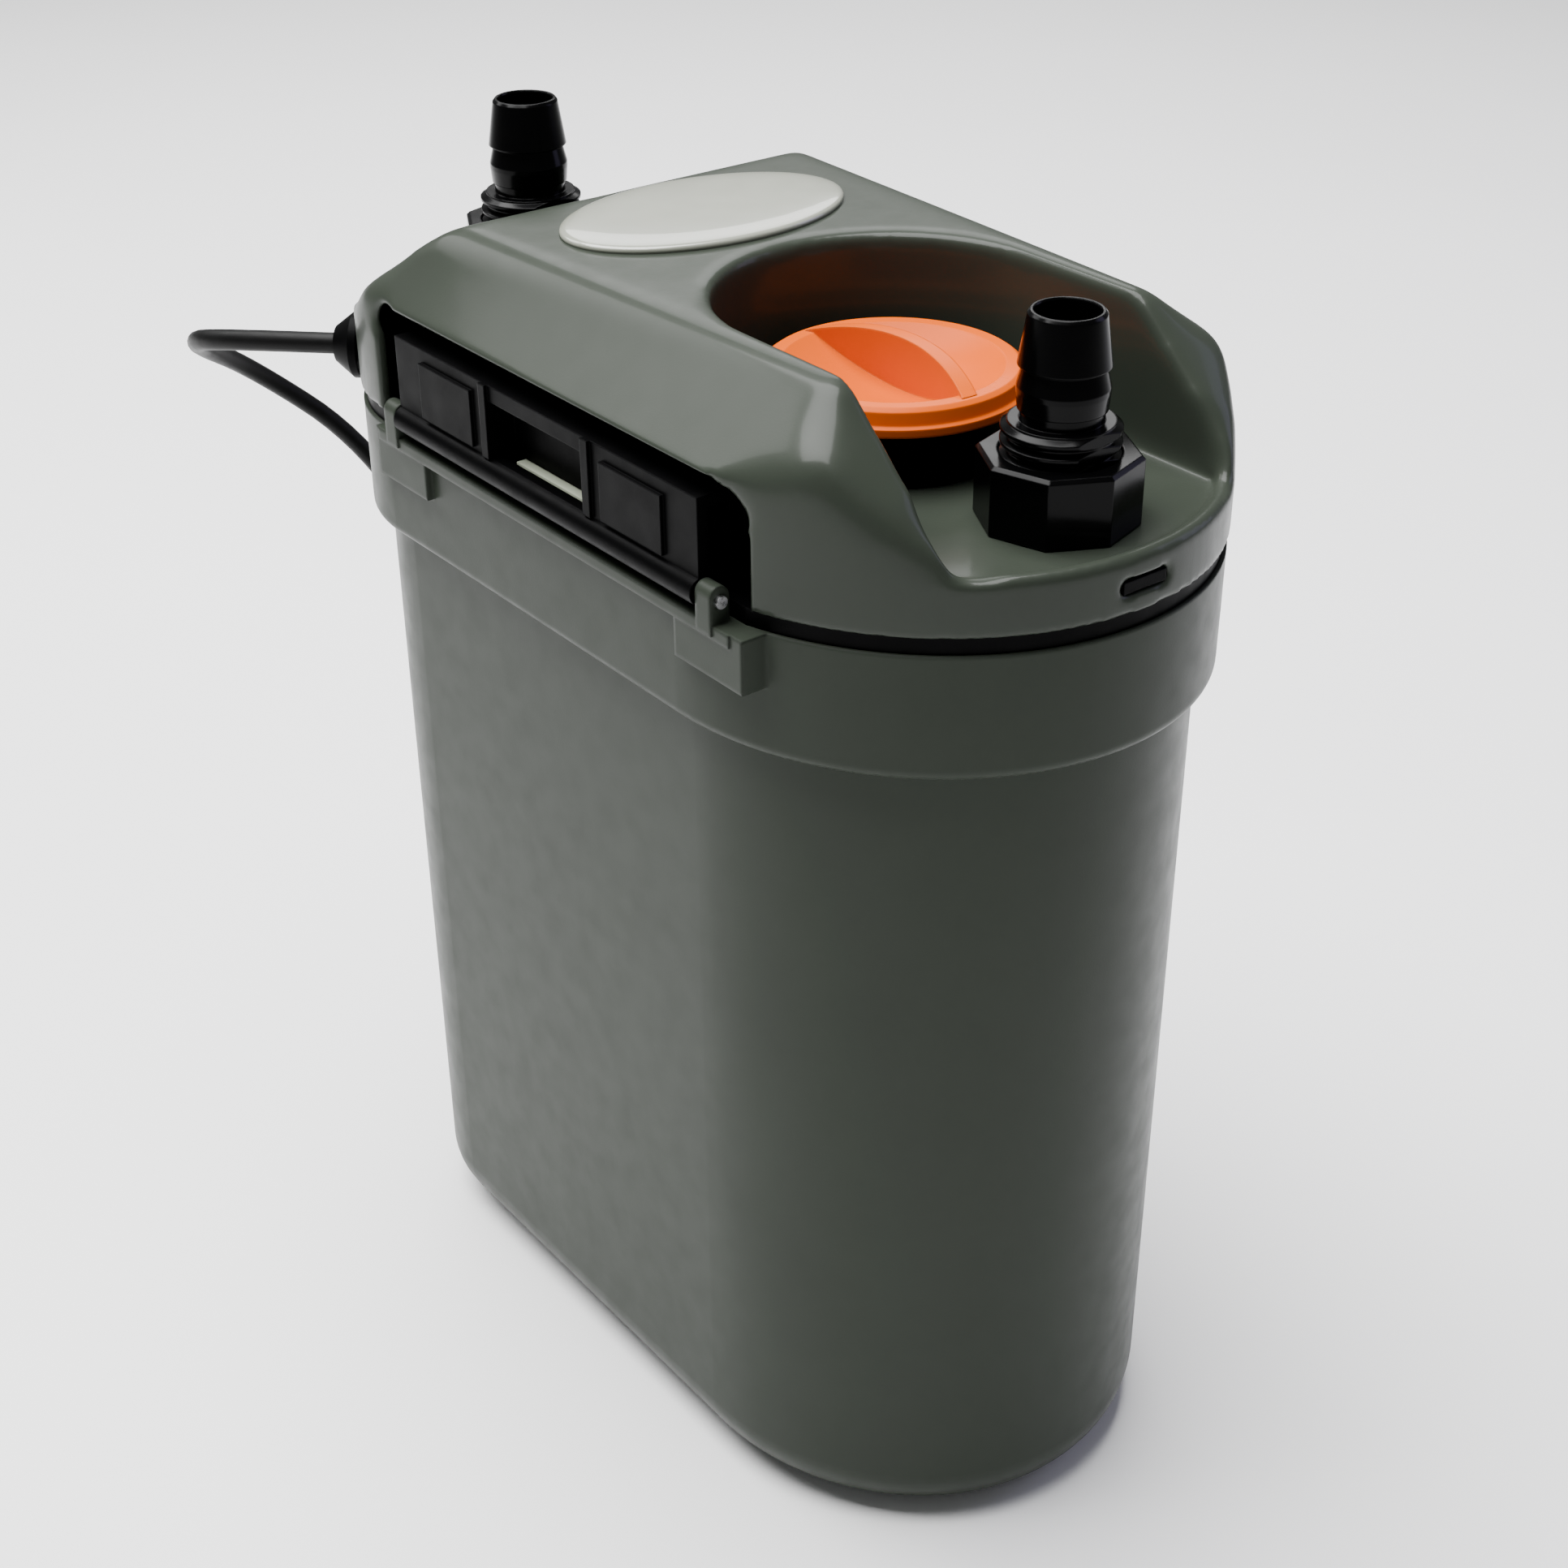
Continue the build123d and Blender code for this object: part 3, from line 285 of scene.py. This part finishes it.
for step in range(1, coil_turns * steps + steps_over + 1):
    turn = step / steps
    angle = start_angle - 2 * pi * turn
    radius, height = coil_point(turn)
    # The spline cuts inside its control points, so they stand a little outside the coil.
    radius /= cos(pi / steps)
    route.append(Vector((coil_x + radius * cos(angle), coil_y + radius * sin(angle), height)))
route += [
    Vector((0.0470, 0.1964, 0.0122)),
    Vector((0.0650, 0.1968, 0.0112)),
    Vector((0.0840, 0.1928, 0.0073)),
    Vector((0.1000, 0.1878, 0.0073)),
]
lead = curve_piece("mains_lead", route, "cord_pvc")
lead.data.bevel_depth = cord_d / 2
lead.data.bevel_resolution = 5
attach(lead, "filter")
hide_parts("cord", "cord_tail", "cord_coil")


# ---------------------------------------------------------------- badge
def dome(name, node, look, rings=14, around=96):
    """A shallow lens over an oval, as tall and wide as its CAD node: steep at the rim, flat on top."""
    plan_power, side_power, top_power, smallest = 1.6, 1.8, 0.8, 0.02
    low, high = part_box(node)
    middle = (low + high) / 2
    size = (high - low) / 2
    mesh = bmesh.new()
    loops = []
    for ring in range(rings + 1):
        lean = ring / rings * pi / 2
        share = max(1 - (1 - cos(lean)) ** plan_power, smallest)
        height = low.z + (high.z - low.z) * (1 - (1 - sin(lean)) ** side_power) ** top_power
        loop = []
        for index in range(around):
            turn = 2 * pi * index / around
            x = middle.x + size.x * share * cos(turn)
            y = middle.y + size.y * share * sin(turn)
            loop.append(mesh.verts.new((x, y, height)))
        loops.append(loop)
    for lower, upper in zip(loops, loops[1:]):
        for index in range(around):
            after = (index + 1) % around
            mesh.faces.new((lower[index], lower[after], upper[after], upper[index]))
    mesh.faces.new(loops[-1])
    mesh.faces.new(list(reversed(loops[0])))
    for face in mesh.faces:
        face.smooth = True
    data = bpy.data.meshes.new(name)
    mesh.to_mesh(data)
    mesh.free()
    data.materials.append(looks[look])
    piece = bpy.data.objects.new(name, data)
    bpy.context.scene.collection.objects.link(piece)
    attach(piece, "filter")
    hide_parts(node)


dome("badge_dome", "badge", "ivory_badge")


# ---------------------------------------------------------------- cover
def ramp(value, start, end):
    """0 below start, 1 above end, and a smooth rise between them."""
    share = np.clip((value - start) / (end - start), 0, 1)
    return share * share * (3 - 2 * share)


def worn(points):
    """How much each point of the cover is rounded: crisp low down, softest at the four cheeks."""
    crisp, shelf_share, flare_share, deck_share = 0.02, 0.16, 0.8, 0.22
    x, y, z = abs(points[:, 0]), points[:, 1], points[:, 2]
    shelf = crisp + shelf_share * ramp(z, 0.2365, 0.2385) * ramp(-y, 0.060, 0.066)
    flare = flare_share * ramp(-y, 0.078, 0.086) * ramp(x, 0.024, 0.031) * ramp(z, 0.2372, 0.2395)
    # The rims of the latch openings are kept out of the deck's rounding.
    latch_rim = ramp(x, 0.049, 0.052) * ramp(-z, -0.2545, -0.2525)
    deck = deck_share * ramp(z, 0.2425, 0.2460) * (1 - latch_rim)
    cheek = ramp(x, 0.037, 0.046) * ramp(-y, 0.052, 0.066) * ramp(z, 0.2420, 0.2470)
    back = ramp(x, 0.034, 0.044) * ramp(y, 0.058, 0.070) * ramp(z, 0.2430, 0.2480)
    return np.maximum.reduce([shelf, flare, deck, cheek, back])


def softened(name, node, material, voxel=0.0008, rounds=110, keep=0.35):
    """A copy of a hard-edged CAD piece: an even mesh of it, smoothed where it is worn, then thinned."""
    weld_distance, strongest = 0.000002, 0.5
    welded = bmesh.new()
    welded.from_mesh(nodes[node].data)
    bmesh.ops.remove_doubles(welded, verts=welded.verts, dist=weld_distance)
    data = bpy.data.meshes.new(name)
    welded.to_mesh(data)
    welded.free()
    piece = bpy.data.objects.new(name, data)
    bpy.context.scene.collection.objects.link(piece)
    even = piece.modifiers.new("even", "REMESH")
    even.mode = "VOXEL"
    even.voxel_size = voxel
    seen = piece.evaluated_get(bpy.context.evaluated_depsgraph_get())
    data = bpy.data.meshes.new_from_object(seen)
    piece.modifiers.clear()
    piece.data = data
    count = len(data.vertices)
    points = np.empty(count * 3)
    data.vertices.foreach_get("co", points)
    points = points.reshape(-1, 3)
    ends = np.empty(len(data.edges) * 2, np.int32)
    data.edges.foreach_get("vertices", ends)
    first, second = ends[0::2], ends[1::2]
    degree = np.bincount(ends, minlength=count)
    share = strongest * worn(points)
    for _ in range(rounds):
        for axis in range(3):
            along = points[:, axis]
            total = np.bincount(first, along[second], count) + np.bincount(second, along[first], count)
            along += share * (total / degree - along)
    data.vertices.foreach_set("co", points.ravel())
    fewer = piece.modifiers.new("fewer", "DECIMATE")
    fewer.ratio = keep
    seen = piece.evaluated_get(bpy.context.evaluated_depsgraph_get())
    piece.data = bpy.data.meshes.new_from_object(seen)
    piece.modifiers.clear()
    piece.data.name = name
    piece.data.materials.clear()
    piece.data.materials.append(material)
    piece.data.shade_smooth()
    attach(piece, "filter")
    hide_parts(node)


softened("cover_shell", "cover", cover_grey)


# ---------------------------------------------------------------- stage
def floor_plane():
    """A pale matte floor."""
    darker, lighter = (0.90, 0.90, 0.90), (0.93, 0.93, 0.93)
    shade = Shade("pale_floor", 0.7)
    shade.colour(shade.blend(shade.spread(shade.noise(3, 3), 0, 1), darker, lighter))
    mesh = bmesh.new()
    bmesh.ops.create_grid(mesh, x_segments=4, y_segments=4, size=6)
    data = bpy.data.meshes.new("floor")
    mesh.to_mesh(data)
    mesh.free()
    data.materials.append(shade.material)
    piece = bpy.data.objects.new("floor", data)
    bpy.context.scene.collection.objects.link(piece)


def soft_light(name, place, aim, size, power, tone=(1, 1, 1)):
    """A rectangular lamp that points at aim."""
    data = bpy.data.lights.new(name, "AREA")
    data.shape = "RECTANGLE"
    data.size, data.size_y = size
    data.energy = power
    data.color = tone
    piece = bpy.data.objects.new(name, data)
    bpy.context.scene.collection.objects.link(piece)
    piece.location = place
    piece.rotation_euler = (Vector(aim) - Vector(place)).to_track_quat("-Z", "Y").to_euler()


floor_plane()
soft_light("top", (-0.2, 0.3, 1.6), (0, 0, 0.2), (1.3, 1.3), 92)
soft_light("left", (-0.4, 1.3, 1.2), (0, 0, 0.25), (0.8, 0.6), 10)
soft_light("back", (0.9, 1.15, 1.15), (0, 0, 0.25), (0.9, 0.7), 9)
soft_light("right", (1.2, -0.5, 0.7), (0, 0, 0.2), (0.5, 0.9), 3, (0.66, 0.60, 1.0))
world = bpy.data.worlds.new("studio")
bpy.context.scene.world = world
world.use_nodes = True
backdrop = world.node_tree.nodes["Background"]
backdrop.inputs["Color"].default_value = (0.93, 0.94, 0.95, 1)
backdrop.inputs["Strength"].default_value = 0.22

eye = bpy.data.cameras.new("camera")
eye.lens = 54.17
eye.sensor_width = 36
camera = bpy.data.objects.new("camera", eye)
bpy.context.scene.collection.objects.link(camera)
camera.location = (-0.2839, -0.3648, 0.4175)
heading = Vector((0.5253, 0.6796, -0.5120)).to_track_quat("-Z", "Y")
roll = Euler((0, 0, radians(-0.42))).to_quaternion()
camera.rotation_mode = "QUATERNION"
camera.rotation_quaternion = heading @ roll
eye.clip_start, eye.clip_end = 0.01, 50
bpy.context.scene.camera = camera
